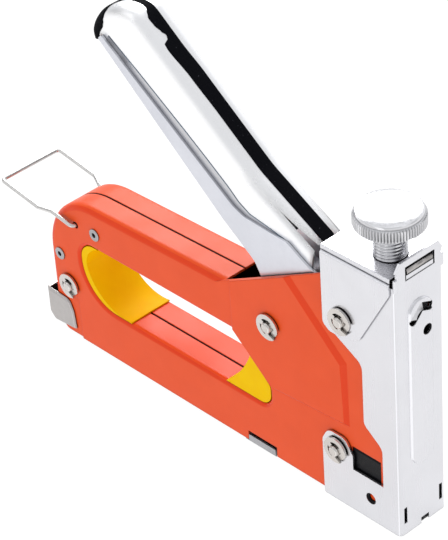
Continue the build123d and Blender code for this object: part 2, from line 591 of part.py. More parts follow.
GRIP_UNDERSIDE = [
    (-140.0, 100.0), (-140.0, 135.4), (-133.0, 139.4), (-121.0, 141.0), (-40.0, 96.6), (-30.0, 92.0),
    (-30.0, 80.0), (-90.0, 80.0),
]
GRIP_T = 0.4
GRIP_GAP = 0.03
GRIP_NARROW = 0.8                      # half the width of the strip over the tip
GRIP_NECK_X = (-131.5, -113.5)         # where the narrow stretch ends, rear and front
GRIP_CAP_X = -133.6                    # the cap covers the tip's end behind here
with BuildPart() as lever_grip:
    add(lever_dome(SHELL_HALF, GRIP_T, SHOULDER_R))
    add(lever_dome(SHELL_HALF + GRIP_GAP, GRIP_GAP, SHOULDER_R - GRIP_GAP), mode=Mode.SUBTRACT)
    with BuildSketch(side_plane(20.0)):
        Polygon(*GRIP_UNDERSIDE, align=None)
    extrude(amount=40.0, mode=Mode.SUBTRACT)
    with BuildSketch(Plane.XY.offset(80.0)):
        for side in (-1, 1):
            Polygon((-20.0, side * CROWN_HALF), (GRIP_NECK_X[1], side * CROWN_HALF),
                    (GRIP_NECK_X[1] - 1.5, side * GRIP_NARROW), (GRIP_NECK_X[0], side * GRIP_NARROW),
                    (GRIP_CAP_X, side * 4.0), (GRIP_CAP_X, side * 12.0), (-20.0, side * 12.0), align=None)
    extrude(amount=90.0, mode=Mode.SUBTRACT)
save(lever_grip.part, "lever_grip")

# The lifter hangs on the lever pivot and raises the striker's tang.
LIFTER_TIP = (PIVOT[0] + 31.0, PIVOT[1] - 11.4)
LIFTER_TOP = PIVOT[1] - 9.4
LIFTER_HALF = 2.6
LIFTER_RIVET = (-45.4, 78.0)           # fixes the lifter between the lever's sides
with BuildPart() as lifter:
    with BuildSketch(side_plane(LIFTER_HALF)):
        Polygon((PIVOT[0] - 4.0, PIVOT[1] - 4.6), (PIVOT[0] + 4.2, PIVOT[1] + 4.2),
                (PIVOT[0] + 21.0, LIFTER_TOP),
                (LIFTER_TIP[0], LIFTER_TOP), (LIFTER_TIP[0] + 2.0, LIFTER_TIP[1]),
                (LIFTER_TIP[0], LIFTER_TIP[1] - 2.0), (PIVOT[0] + 18.0, LIFTER_TOP - 5.4), align=None)
        with Locations(PIVOT, LIFTER_RIVET):
            Circle(6.0)
        Polygon((-60.2, 58.6), (-51.2, 79.4), (-40.0, 75.6), (-48.4, 56.6), align=None)
        with Locations(LIFTER_TIP):
            Circle(2.0)
        with Locations(PIVOT):
            Circle(PIN_R + 0.08, mode=Mode.SUBTRACT)
        with Locations(LIFTER_RIVET):
            Circle(1.52, mode=Mode.SUBTRACT)
    extrude(amount=2 * LIFTER_HALF)
save(lifter.part, "lifter")

with BuildPart() as lifter_rivet:
    with BuildSketch(side_plane(ARM_HALF - ARM_T - 0.05)):
        with Locations(LIFTER_RIVET):
            Circle(1.5)
    extrude(amount=2 * (ARM_HALF - ARM_T - 0.05))
save(lifter_rivet.part, "lifter_rivet")

RETURN_WIRE_R = 0.6
return_spring_coil = coil((PIVOT[0], 3.3, PIVOT[1]), (0, 1, 0), 3.2, 3.4, RETURN_WIRE_R, 2.2)
save(return_spring_coil, "return_spring")

with BuildPart() as pivot_sleeve:
    with BuildSketch(side_plane(-2.8)):
        with Locations(PIVOT):
            Circle(2.6)
            Circle(PIN_R + 0.08, mode=Mode.SUBTRACT)
    extrude(amount=ARM_HALF - ARM_T - 0.2 - 2.8)
save(pivot_sleeve.part, "pivot_sleeve")

# ---------------------------------------------------------------- pins, clips, washers and rivets
CLIP_R = 4.9
CLIP_T = 0.8
WASHER_R = 4.1
WASHER_T = 0.4
DOME_RISE = 0.6
PANEL_Y = BODY_HALF + PANEL_RISE
FACE_Y = {"pivot": PANEL_Y, "cap": CAP_HALF, "lower": NOSE_HALF, "rear": BODY_HALF}
PIN_AT = {"pivot": PIVOT, "cap": CAP_PIN, "lower": LOWER_PIN, "rear": REAR_PIN}
MOUTH_ANGLE = {"pivot": -25.0, "cap": -20.0, "lower": -35.0, "rear": -40.0}
CLIP_STACK = WASHER_T + CLIP_T + 0.1

for name, (pin_x, pin_z) in PIN_AT.items():
    pin_half = FACE_Y[name] + CLIP_STACK + 0.4
    with BuildPart() as pin:
        with BuildSketch(side_plane(pin_half + DOME_RISE)):
            with Locations((pin_x, pin_z)):
                Circle(PIN_R)
        extrude(amount=2 * (pin_half + DOME_RISE))
        fillet(pin.edges().filter_by(GeomType.CIRCLE), 0.9)
    save(pin.part, name + "_pin")


def both_sides(profile_at, thickness, lift):
    """One flat piece against each side of the body at every pin, as separate solids."""
    pieces = []
    for name, (pin_x, pin_z) in PIN_AT.items():
        inner_y = FACE_Y[name] + lift
        for plane_y in (-inner_y, inner_y + thickness):
            with BuildPart(mode=Mode.PRIVATE) as piece:
                with BuildSketch(side_plane(plane_y)):
                    with Locations(Location((pin_x, pin_z), MOUTH_ANGLE[name])):
                        profile_at()
                extrude(amount=thickness)
            pieces.append(piece.part)
    return Compound(children=pieces)


def washer_profile():
    Circle(WASHER_R)
    Circle(PIN_R + 0.05, mode=Mode.SUBTRACT)


def clip_profile():
    """An E-shaped retaining ring: three prongs reach the pin, the mouth is open."""
    Circle(CLIP_R)
    Circle(CLIP_R - 1.7, mode=Mode.SUBTRACT)
    with PolarLocations((CLIP_R - 1.0 + PIN_R + 0.04) / 2, 3, start_angle=60):
        Rectangle(CLIP_R - 1.0 - PIN_R - 0.04, 1.9)
    with Locations((CLIP_R - 1.0, 0)):
        Rectangle(4.6, 4.2, mode=Mode.SUBTRACT)


save(both_sides(washer_profile, WASHER_T, 0.03), "washers")
save(both_sides(clip_profile, CLIP_T, WASHER_T + 0.06), "retaining_clips")

rivet_solids = []
for rivet_x, rivet_z in RIVETS:
    with BuildPart() as rivet:
        with BuildSketch(side_plane(BODY_HALF + 0.5)):
            with Locations((rivet_x, rivet_z)):
                Circle(RIVET_R)
        extrude(amount=2 * (BODY_HALF + 0.5))
        for flange_y in (-BODY_HALF - 0.02, BODY_HALF + 0.52):
            with BuildSketch(side_plane(flange_y)):
                with Locations((rivet_x, rivet_z)):
                    Circle(2.4)
            extrude(amount=0.5)
        fillet(rivet.edges().filter_by(GeomType.CIRCLE).filter_by(lambda e: abs(e.radius - 2.4) < 0.01), 0.2)
        with BuildSketch(side_plane(20.0)):
            with Locations((rivet_x, rivet_z)):
                Circle(1.0)
        extrude(amount=40.0, mode=Mode.SUBTRACT)
    rivet_solids.append(rivet.part)
save(Compound(children=rivet_solids), "rear_rivets")

# ---------------------------------------------------------------- finger inserts
INSERT_HALF = BODY_HALF - 0.6
with BuildPart() as rear_insert:
    with BuildSketch(side_plane(INSERT_HALF)):
        rounded_polygon(LOOP, LOOP_ROUNDS, grow=-0.04)
        with BuildSketch(mode=Mode.PRIVATE) as palm_space:
            with BuildLine():
                ThreePointArc((-140.0, 46.5), (-147.6, 43.6), (-150.4, 37.0))
                ThreePointArc((-150.4, 37.0), (-144.6, 26.6), (-128.0, 21.9))
                Polyline((-128.0, 21.9), (-128.0, 10.0), (-20.0, 10.0), (-20.0, 60.0), (-140.0, 60.0),
                         (-140.0, 46.5))
            make_face()
        add(palm_space.sketch, mode=Mode.SUBTRACT)
    extrude(amount=2 * INSERT_HALF)
save(rear_insert.part, "rear_finger_insert")

with BuildPart() as front_insert:
    with BuildSketch(side_plane(INSERT_HALF)):
        rounded_polygon(LOOP, LOOP_ROUNDS, grow=-0.04)
        with BuildSketch(mode=Mode.PRIVATE) as palm_space:
            with BuildLine():
                ThreePointArc((-79.4, 21.3), (-71.6, 29.4), (-66.0, 39.4))
                Polyline((-66.0, 39.4), (-66.0, 60.0), (-160.0, 60.0), (-160.0, 10.0), (-79.4, 10.0),
                         (-79.4, 21.3))
            make_face()
        add(palm_space.sketch, mode=Mode.SUBTRACT)
    extrude(amount=2 * INSERT_HALF)
save(front_insert.part, "front_finger_insert")

# ---------------------------------------------------------------- wire bail
BAIL_HALF = 13.5
BAIL_NECK_HALF = 11.3
BAIL_REACH = 36.0
BAIL_TILT = 9.0


def bail_point(reach, y):
    """A point of the bail at this distance from its pivot."""
    return (BAIL_HOLE[0] - reach * cos(radians(BAIL_TILT)), y, BAIL_HOLE[1] + reach * sin(radians(BAIL_TILT)))


bail_half_route = [
    bail_point(0, 8.4), bail_point(0, BAIL_NECK_HALF), bail_point(11.0, BAIL_NECK_HALF),
    bail_point(16.0, BAIL_HALF), bail_point(BAIL_REACH, BAIL_HALF),
]
bail_route = bail_half_route + [(x, -y, z) for x, y, z in reversed(bail_half_route)]
with BuildPart() as wire_bail:
    with BuildLine() as bail_line:
        FilletPolyline(*bail_route, radius=1.6)
    with BuildSketch(Plane(origin=bail_line.line @ 0, z_dir=bail_line.line % 0)):
        Circle(BAIL_WIRE_R)
    sweep()
save(wire_bail.part, "wire_bail")
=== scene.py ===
import json
from math import cos, pi, radians, sin, tau

import bpy
from mathutils import Matrix, Vector

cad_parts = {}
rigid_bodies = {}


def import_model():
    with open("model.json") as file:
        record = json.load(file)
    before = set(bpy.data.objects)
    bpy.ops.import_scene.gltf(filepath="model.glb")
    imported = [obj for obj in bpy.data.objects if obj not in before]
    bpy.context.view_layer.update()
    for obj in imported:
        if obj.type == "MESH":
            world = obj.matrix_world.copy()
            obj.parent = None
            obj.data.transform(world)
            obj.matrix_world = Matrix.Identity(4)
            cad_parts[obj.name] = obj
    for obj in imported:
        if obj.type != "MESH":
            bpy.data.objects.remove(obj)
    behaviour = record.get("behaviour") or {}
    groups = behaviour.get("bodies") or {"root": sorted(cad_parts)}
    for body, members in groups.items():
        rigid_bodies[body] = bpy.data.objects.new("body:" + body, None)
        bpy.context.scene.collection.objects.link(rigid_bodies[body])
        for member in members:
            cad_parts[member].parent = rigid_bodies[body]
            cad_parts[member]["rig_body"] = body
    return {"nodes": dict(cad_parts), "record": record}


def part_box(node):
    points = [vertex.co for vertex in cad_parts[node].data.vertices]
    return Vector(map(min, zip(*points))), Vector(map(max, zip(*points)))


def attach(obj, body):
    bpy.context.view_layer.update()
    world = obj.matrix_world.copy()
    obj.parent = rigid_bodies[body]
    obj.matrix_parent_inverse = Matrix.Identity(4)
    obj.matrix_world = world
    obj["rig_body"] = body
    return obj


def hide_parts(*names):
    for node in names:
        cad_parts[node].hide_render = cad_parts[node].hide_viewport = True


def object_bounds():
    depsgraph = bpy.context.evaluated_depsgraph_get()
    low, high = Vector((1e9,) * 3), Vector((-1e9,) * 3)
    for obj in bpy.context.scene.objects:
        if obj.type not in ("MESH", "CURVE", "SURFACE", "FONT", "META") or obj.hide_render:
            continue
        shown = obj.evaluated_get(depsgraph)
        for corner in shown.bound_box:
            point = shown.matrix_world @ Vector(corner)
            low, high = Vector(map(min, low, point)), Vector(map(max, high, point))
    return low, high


# Hand staple gun: materials, finer pieces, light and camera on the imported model.
# Metres, +Z up, +X towards the nose.  The tables of sizes below are in millimetres.

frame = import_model()
cad_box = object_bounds()
MM = 0.001


# ---------------------------------------------------------------- material helpers
def feed(links, node, values):
    """Link or set each input of a node, by name or by place."""
    for key, value in values.items():
        if isinstance(value, bpy.types.NodeSocket):
            links.new(value, node.inputs[key])
        else:
            node.inputs[key].default_value = value


def opaque(colour):
    """An (r, g, b) with full alpha; a socket stays as it is."""
    return colour + (1,) if isinstance(colour, tuple) else colour


class Surface:
    """A node material: one principled shader, fed by textures in the piece's own frame."""

    def __init__(self, name, **sockets):
        self.material = bpy.data.materials.new(name)
        self.material.use_nodes = True
        self.nodes = self.material.node_tree.nodes
        self.links = self.material.node_tree.links
        self.shader = self.nodes["Principled BSDF"]
        self.place = self.nodes.new("ShaderNodeTexCoord").outputs["Object"]
        self.normal = None
        self.set(**sockets)

    def set(self, **values):
        """Feed the shader's own sockets."""
        named = {key.replace("_", " "): value for key, value in values.items()}
        feed(self.links, self.shader, named)

    def noise(self, scale, detail=3.0, roughness=0.55, stretch=(1, 1, 1)):
        """A noise value from 0 to 1; scale counts features in a metre."""
        mapping = self.nodes.new("ShaderNodeMapping")
        feed(self.links, mapping, {"Vector": self.place, "Scale": stretch})
        texture = self.nodes.new("ShaderNodeTexNoise")
        feed(self.links, texture, {
            "Vector": mapping.outputs[0], "Scale": scale, "Detail": detail, "Roughness": roughness,
        })
        return texture.outputs["Fac"]

    def remap(self, value, low, high, to_low=0.0, to_high=1.0):
        """Stretch a value's range, clamped at both ends."""
        node = self.nodes.new("ShaderNodeMapRange")
        feed(self.links, node, {
            "Value": value, "From Min": low, "From Max": high, "To Min": to_low, "To Max": to_high,
        })
        return node.outputs[0]

    def math(self, operation, a, b=0.0):
        """One arithmetic step."""
        node = self.nodes.new("ShaderNodeMath")
        node.operation = operation
        feed(self.links, node, {0: a, 1: b})
        return node.outputs[0]

    def times(self, a, b):
        """The product of two values."""
        return self.math("MULTIPLY", a, b)

    def mix(self, share, a, b):
        """From colour a to colour b."""
        node = self.nodes.new("ShaderNodeMix")
        node.data_type = "RGBA"
        feed(self.links, node, {0: share, 6: opaque(a), 7: opaque(b)})
        return node.outputs[2]

    def bump(self, height, distance, strength=1.0):
        """Add relief of this depth, in metres."""
        node = self.nodes.new("ShaderNodeBump")
        feed(self.links, node, {"Height": height, "Distance": distance, "Strength": strength})
        if self.normal:
            self.links.new(self.normal, node.inputs["Normal"])
        self.bend(node.outputs["Normal"])

    def bend(self, normal):
        """Shade with this normal."""
        self.normal = normal
        self.links.new(normal, self.shader.inputs["Normal"])

    def axis_part(self, source, axis):
        """One axis of the surface's normal ("Normal") or place ("Object")."""
        split = self.nodes.new("ShaderNodeSeparateXYZ")
        coordinates = self.nodes.new("ShaderNodeTexCoord")
        self.links.new(coordinates.outputs[source], split.inputs[0])
        return split.outputs[axis]

    def between(self, value, low, high, fade):
        """1 where a value lies between two limits, fading to 0 outside them."""
        rising = self.remap(value, low - fade, low)
        return self.times(rising, self.remap(value, high + fade, high))

    def soft_edges(self, radius):
        """Round the shading over sharp edges, and return a mask that is 1 along them."""
        bevel = self.nodes.new("ShaderNodeBevel")
        bevel.samples = 4
        bevel.inputs["Radius"].default_value = radius
        face = self.nodes.new("ShaderNodeNewGeometry").outputs["Normal"]
        dot = self.nodes.new("ShaderNodeVectorMath")
        dot.operation = "DOT_PRODUCT"
        feed(self.links, dot, {0: bevel.outputs[0], 1: face})
        self.bend(bevel.outputs[0])
        flat, bent = 0.99, 0.86        # cosine between the true and the rounded normal
        return self.remap(dot.outputs["Value"], flat, bent)

    def crevices(self, reach, open_share=0.75, shut_share=0.25):
        """A mask that is 1 deep in corners and gaps narrower than this reach, and 0 in the open."""
        occlusion = self.nodes.new("ShaderNodeAmbientOcclusion")
        occlusion.samples = 6
        occlusion.inputs["Distance"].default_value = reach
        return self.remap(occlusion.outputs["AO"], open_share, shut_share)


# ---------------------------------------------------------------- materials
# The first three are the paint's own colours; the others are painted shade on slopes, edges, gaps,
# inner faces and deep inside.
PAINT = {
    "deep": (0.80, 0.072, 0.006), "fresh": (0.90, 0.092, 0.012), "speck": (0.90, 0.20, 0.06),
    "slope_shade": (0.80, 0.040, 0.003), "edge": (0.62, 0.026, 0.003), "gap_shade": (0.16, 0.010, 0.003),
    "back": (0.006, 0.005, 0.005), "inside": (0.004, 0.003, 0.003),
}
PAINT_SLOPE = (0.62, 0.985)            # how sideways the pressed slopes face, least and most; these slopes get painted shade
PAINT_FADE = 0.014
# colour of the painted shade in the steel's corners and gaps
CREVICE_SHADE_TONE = (0.035, 0.035, 0.04)
# colour of the painted shade deep in the enclosed body
STEEL_INSIDE_SHADE = (0.006, 0.006, 0.007)
BEND_FACE = (0.83, 0.90)               # the same for the rounded bends of the steel pressings, which get a painted highlight on one side and painted shade on the other
BEND_FADE = 0.03
# Gains for the painted highlight and the painted shade on steel bends, and the brightest painted
# highlight.
BEND_HIGHLIGHT_GAIN, SHADED_GAIN, BRIGHTEST = 1.2, 0.62, 0.97
# In each look, glint is the colour of a painted highlight along the edges, and the corner-darkening
# number is the strength of painted shade in corners.
STEELS = {
    "bright_steel": dict(
        dull=(0.67, 0.67, 0.70), clean=(0.76, 0.76, 0.79), glint=(0.92, 0.92, 0.95),
        rough=(0.22, 0.29), edge_radius=0.35, grain=700, stretch=(1, 1, 0.04),
        crevice_shade=0.9, relief=0.08),
    "mirror_steel": dict(
        dull=(0.91, 0.91, 0.92), clean=(0.96, 0.96, 0.97), glint=(0.94, 0.94, 0.95),
        rough=(0.26, 0.34), edge_radius=3.5, grain=300, crevice_shade=0.6, relief=0.05),
    "zinc_steel": dict(
        dull=(0.60, 0.61, 0.66), clean=(0.74, 0.75, 0.80), glint=(0.88, 0.90, 0.94),
        rough=(0.30, 0.44), edge_radius=0.25),
    "dull_steel": dict(
        dull=(0.42, 0.40, 0.39), clean=(0.50, 0.48, 0.47), glint=(0.66, 0.64, 0.63),
        rough=(0.32, 0.44), edge_radius=0.25),
    "nickel": dict(
        dull=(0.52, 0.49, 0.46), clean=(0.72, 0.69, 0.66), glint=(0.92, 0.90, 0.87),
        rough=(0.18, 0.32), edge_radius=0.2, grain=900),
    "plain_steel": dict(
        dull=(0.34, 0.34, 0.35), clean=(0.50, 0.50, 0.52), glint=(0.62, 0.62, 0.64),
        rough=(0.35, 0.55)),
    "spring_steel": dict(
        dull=(0.48, 0.47, 0.46), clean=(0.66, 0.65, 0.64), glint=(0.85, 0.84, 0.83),
        rough=(0.22, 0.36)),
    "satin_steel": dict(
        dull=(0.52, 0.52, 0.54), clean=(0.62, 0.62, 0.64), glint=(0.80, 0.80, 0.82),
        rough=(0.26, 0.38)),
    "blued_steel": dict(
        dull=(0.07, 0.11, 0.17), clean=(0.13, 0.19, 0.27), glint=(0.30, 0.38, 0.46),
        rough=(0.25, 0.40)),
    "knurled_steel": dict(
        dull=(0.56, 0.56, 0.58), clean=(0.74, 0.74, 0.76), glint=(0.97, 0.97, 0.98),
        rough=(0.14, 0.24), edge_radius=0.12, grain=900, crevice_shade=0.95, corners=(0.96, 0.5)),
}


def orange_paint():
    """Paint, with painted shade: deeper on slopes, along the edges and in gaps, and near black
    inside the shells.
    """
    surface = Surface("orange_paint", IOR=1.5, Specular_IOR_Level=0.2)
    edge = surface.soft_edges(0.5 * MM)
    base = surface.mix(surface.noise(90, 4), PAINT["deep"], PAINT["fresh"])
    specks = surface.remap(surface.noise(1400, 2, 0.7), 0.70, 0.78, 0.0, 0.25)
    base = surface.mix(specks, base, PAINT["speck"])
    # Painted shade: pressed slopes that face sideways are made a deeper orange.
    sideways = surface.axis_part("Normal", "Y")
    pressed = surface.between(surface.math("ABSOLUTE", sideways), *PAINT_SLOPE, PAINT_FADE)
    base = surface.mix(surface.times(pressed, 0.7), base, PAINT["slope_shade"])
    # Painted shade: a darker red along the rounded edges, broken up by noise.
    edge_shade = surface.times(edge, surface.remap(surface.noise(260, 5), 0.42, 0.62, 0.45, 1.0))
    base = surface.mix(edge_shade, base, PAINT["edge"])
    # Painted shade in narrow gaps and corners.
    base = surface.mix(surface.times(surface.crevices(1.2 * MM), 0.75), base, PAINT["gap_shade"])
    # Painted shade: faces turned in towards the middle, the shells' inner sides, go near black.
    half = surface.math("SIGN", surface.axis_part("Object", "Y"))
    inner_face_shade = surface.remap(surface.times(sideways, half), -0.3, -0.7)
    base = surface.mix(inner_face_shade, base, PAINT["back"])
    # Painted shade: deep in the enclosed body the paint goes near black.
    inside = surface.crevices(7 * MM, 0.42, 0.16)
    surface.set(Base_Color=surface.mix(inside, base, PAINT["inside"]))
    surface.set(Roughness=surface.remap(surface.noise(55, 4), 0.3, 0.7, 0.28, 0.40))
    surface.bump(surface.noise(900, 2, 0.5), 0.03 * MM, 0.25)
    return surface.material


def steel(name, dull, clean, glint, rough, edge_radius=0.3, grain=600, stretch=(1, 1, 1),
          crevice_shade=0.7, relief=0.3, corners=(0.75, 0.25)):
    """Bare or plated steel: cloudy tone, a painted highlight along the edges, painted shade in the
    corners and a fine grain.

    On upright faces, bends turned to -Y get a painted highlight and bends turned to +Y get painted
    shade.
    """
    surface = Surface(name, Metallic=1.0)
    edge = surface.soft_edges(edge_radius * MM)
    base = surface.mix(surface.noise(70, 5), dull, clean)
    # Painted highlight along the edges.
    base = surface.mix(edge, base, glint)
    upright = surface.remap(surface.math("ABSOLUTE", surface.axis_part("Normal", "Z")), 0.5, 0.3)
    sideways = surface.axis_part("Normal", "Y")
    near, far = BEND_FACE
    # Painted highlight on bends turned to -Y.
    bend_highlight = surface.times(upright, surface.between(sideways, -far, -near, BEND_FADE))
    base = surface.mix(bend_highlight, base, tuple(min(BEND_HIGHLIGHT_GAIN * tone, BRIGHTEST) for tone in clean))
    # Painted shade on bends turned to +Y.
    shaded = surface.times(upright, surface.between(sideways, near, far, BEND_FADE))
    base = surface.mix(shaded, base, tuple(SHADED_GAIN * tone for tone in dull))
    # Painted shade in corners and gaps.
    gaps = surface.times(surface.crevices(0.9 * MM, *corners), crevice_shade)
    base = surface.mix(gaps, base, CREVICE_SHADE_TONE)
    # Painted shade: deep in the enclosed body the steel goes near black.
    inside = surface.crevices(6 * MM, 0.36, 0.14)
    surface.set(Base_Color=surface.mix(inside, base, STEEL_INSIDE_SHADE))
    texture = surface.noise(grain, 3, 0.6, stretch)
    surface.set(Roughness=surface.remap(texture, 0.3, 0.7, *rough))
    surface.bump(texture, 0.02 * MM, relief)
    return surface.material


def black_rubber():
    """Matt rubber with a grain and a little pale dust."""
    surface = Surface("black_rubber", Specular_IOR_Level=0.05)
    grain = surface.noise(1500, 4, 0.7)
    dust = surface.remap(surface.noise(1100, 2, 0.8), 0.71, 0.76)
    surface.set(Base_Color=surface.mix(dust, (0.0022, 0.0024, 0.0042), (0.10, 0.10, 0.12)))
    surface.set(Roughness=surface.remap(grain, 0.3, 0.7, 0.6, 0.85))
    surface.bump(grain, 0.12 * MM, 0.6)
    return surface.material


def black_plastic():
    """Dark moulded plastic, also used for the dark sheets and cones that stand for shade in the
    slots and holes.
    """
    surface = Surface("black_plastic", Specular_IOR_Level=0.1)
    surface.soft_edges(0.4 * MM)
    cloud = surface.noise(300, 4)
    surface.set(Base_Color=surface.mix(cloud, (0.003, 0.003, 0.004), (0.009, 0.009, 0.011)))
    surface.set(Roughness=surface.remap(surface.noise(700, 3), 0.3, 0.7, 0.24, 0.38))
    surface.bump(surface.noise(1800, 2), 0.02 * MM, 0.3)
    return surface.material


def yellow_plastic():
    """The finger inserts' plastic, with painted shade in the corners."""
    surface = Surface("yellow_plastic", Specular_IOR_Level=0.04)
    surface.soft_edges(0.3 * MM)
    base = surface.mix(surface.noise(120, 4), (0.90, 0.50, 0.0), (0.98, 0.64, 0.0))
    # Painted shade: a browner colour in corners and gaps.
    crevice_shade = surface.times(surface.crevices(1.5 * MM), 0.6)
    surface.set(Base_Color=surface.mix(crevice_shade, base, (0.45, 0.17, 0.0)))
    surface.set(Roughness=surface.remap(surface.noise(500, 3), 0.3, 0.7, 0.42, 0.55))
    surface.bump(surface.noise(1300, 3), 0.03 * MM, 0.3)
    return surface.material


MATERIALS = {"orange_paint": orange_paint()}
MATERIALS.update({name: steel(name, **look) for name, look in STEELS.items()})
MATERIALS.update({make.__name__: make() for make in (black_rubber, black_plastic, yellow_plastic)})
OWN_MATERIAL = {
    "lever_shell": "mirror_steel", "loader_latch": "dull_steel",
    "retaining_clips": "nickel", "washers": "nickel", "rear_rivets": "plain_steel",
    "pivot_pin": "nickel", "cap_pin": "nickel", "lower_pin": "nickel", "rear_pin": "nickel",
}
SLOT_OF = {entry["node"]: entry["material_slot"] for entry in frame["record"]["subparts"]}
BODY_OF = {name: node["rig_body"] for name, node in frame["nodes"].items()}

for name, node in frame["nodes"].items():
    node.data.materials.clear()
    node.data.materials.append(MATERIALS[OWN_MATERIAL.get(name, SLOT_OF[name])])


# ---------------------------------------------------------------- mesh helpers
def mesh_object(name, points, faces, material, smooth=True):
    """A new mesh object in the model's frame, its points in metres."""
    mesh = bpy.data.meshes.new(name)
    mesh.from_pydata(points, [], faces)
    mesh.materials.append(material)
    if smooth:
        mesh.shade_smooth()
    else:
        mesh.shade_flat()
    piece = bpy.data.objects.new(name, mesh)
    bpy.context.scene.collection.objects.link(piece)
    return piece


def grid_faces(rows, columns, wrap=False):
    """Quads over points stored row by row; wrap joins the last column to the first."""
    faces = []
    for row in range(rows - 1):
        low, high = row * columns, (row + 1) * columns
        for column in range(columns if wrap else columns - 1):
            after = (column + 1) % columns
            faces.append((low + column, low + after, high + after, high + column))
    return faces


def thicken(piece, thickness):
    """Give a sheet its thickness, in millimetres, half to each side."""
    thick = piece.modifiers.new("thick", "SOLIDIFY")
    thick.thickness = thickness * MM
    thick.offset = 0
    return piece


def turned(name, rows, columns, radius_at, centre, material, sharp=40.0):
    """A turned form about +Z: radius_at(row, angle) gives (radius, z); both ends are closed."""
    points = []
    for row in range(rows):
        for column in range(columns):
            angle = tau * column / columns
            radius, z = radius_at(row, angle)
            points.append((centre[0] + radius * cos(angle), centre[1] + radius * sin(angle), z))
    faces = grid_faces(rows, columns, wrap=True)
    faces.append(tuple(reversed(range(columns))))
    faces.append(tuple(range((rows - 1) * columns, rows * columns)))
    piece = mesh_object(name, points, faces, material)
    piece.data.set_sharp_from_angle(angle=radians(sharp))
    return piece


def side_name(side):
    """The side of +Y is the tool's left."""
    return "left" if side > 0 else "right"


# ---------------------------------------------------------------- adjuster
KNOB_RIDGES = 72
KNURL_DEPTH = 0.45
KNOB_BAND = [                          # inset from the rim, height over the base, knurl's share
    (5.2, 0.0, 0), (1.6, 0.0, 0), (0.7, 0.5, 0.3), (0.0, 0.9, 1), (0.0, 4.4, 1), (0.45, 4.9, 0.3),
    (0.9, 5.1, 0), (0.85, 5.7, 0),
]
KNOB_CAP = [(1.05, 0.15), (1.4, 0.0)]  # inset from the rim, depth under the top
KNOB_MIDDLE_R = 0.2
THREAD_PITCH, THREAD_DEPTH = 1.25, 0.45
THREAD_STEPS = 6                       # rows of points in one pitch
THREAD_COLUMNS = 64


def knurled_knob():
    """The adjuster's knob: a knurled band under a chamfered cap."""
    low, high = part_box("adjuster_knob")
    centre = ((low.x + high.x) / 2, (low.y + high.y) / 2)
    outer = (high.x - low.x) / 2
    profile = [(outer - inset * MM, low.z + rise * MM, knurl) for inset, rise, knurl in KNOB_BAND]
    profile += [(outer - inset * MM, high.z - drop * MM, 0) for inset, drop in KNOB_CAP]
    profile += [(outer * 0.5, high.z, 0), (KNOB_MIDDLE_R * MM, high.z, 0)]

    def radius_at(row, angle):
        radius, z, knurl = profile[row]
        wave = abs(((angle * KNOB_RIDGES / tau) % 1.0) * 2 - 1)
        return radius - knurl * KNURL_DEPTH * MM * wave, z

    columns = KNOB_RIDGES * 4
    return turned(
        "knob_knurled", len(profile), columns, radius_at, centre, MATERIALS["knurled_steel"])


def threaded_shank():
    """The adjuster's screw, with its thread cut as one helix."""
    low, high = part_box("adjuster_screw")
    centre = ((low.x + high.x) / 2, (low.y + high.y) / 2)
    outer = (high.x - low.x) / 2
    pitch, depth = THREAD_PITCH * MM, THREAD_DEPTH * MM
    rows = int((high.z - low.z) / pitch * THREAD_STEPS) + 1

    def radius_at(row, angle):
        z = low.z + (high.z - low.z) * row / (rows - 1)
        phase = ((z - low.z) / pitch - angle / tau) % 1.0
        return outer - depth * abs(phase * 2 - 1), z

    return turned(
        "screw_thread", rows, THREAD_COLUMNS, radius_at, centre, MATERIALS["knurled_steel"],
        sharp=80.0)


# ---------------------------------------------------------------- lever
CROWN_FLAT = 3.35 * MM                 # half the width of the flat crown
SHOULDER_R = 3.9 * MM
CROWN_CORNERS = [(-34.8, 96.3), (-62.0, 111.8), (-114.0, 151.9)]
TIP_ARC = [(-114.0, 151.9), (-130.3, 147.9), (-137.7, 137.5)]
TIP_HEEL = (-136.6, 134.6)
INSIDE_LEVER = (-110.0, 125.0)         # a point under the crown, to tell outward from inward
NEAR_WIDTHS = [                        # where the crown is in x, and the strip's reach to the right
    (-34.0, 2.8), (-80.0, 3.0), (-92.0, 3.4), (-101.5, 4.2), (-103.2, 4.0), (-104.3, 1.6),
    (-105.3, 1.2), (-106.6, 2.0), (-109.0, 2.9), (-111.3, 3.1), (-112.8, 2.3), (-114.5, 1.0),
    (-117.0, 0.75), (-125.5, 0.8), (-127.0, 2.0), (-128.5, 4.5), (-130.0, 6.6), (-131.5, 8.2),
    (-132.6, 9.6), (-134.0, 10.4), (-138.0, 10.4),
]
FAR_WIDTHS = [
    (-34.0, 2.6), (-92.0, 2.3), (-101.5, 1.8), (-127.0, 2.0), (-130.0, 6.6), (-134.0, 10.4),
    (-138.0, 10.4),
]
STRIP_T = 0.32 * MM
STRIP_COLUMNS = 29
EDGE_TUCK, EDGE_POWER = 1.6, 12        # how far, and how late, its edges sink into the shell
ROUTE_STEP = 0.5
ROUTE_SMOOTHING = 25                   # passes over the route
LEG_PARTS, ARC_PARTS, HEEL_PARTS = 80, 60, 8


def circle_through(a, b, c):
    """Centre and radius of the circle through three points."""
    d = 2 * (a.x * (b.y - c.y) + b.x * (c.y - a.y) + c.x * (a.y - b.y))
    aa, bb, cc = a.length_squared, b.length_squared, c.length_squared
    ux = (aa * (b.y - c.y) + bb * (c.y - a.y) + cc * (a.y - b.y)) / d
    uy = (aa * (c.x - b.x) + bb * (a.x - c.x) + cc * (b.x - a.x)) / d
    centre = Vector((ux, uy))
    return centre, (a - centre).length


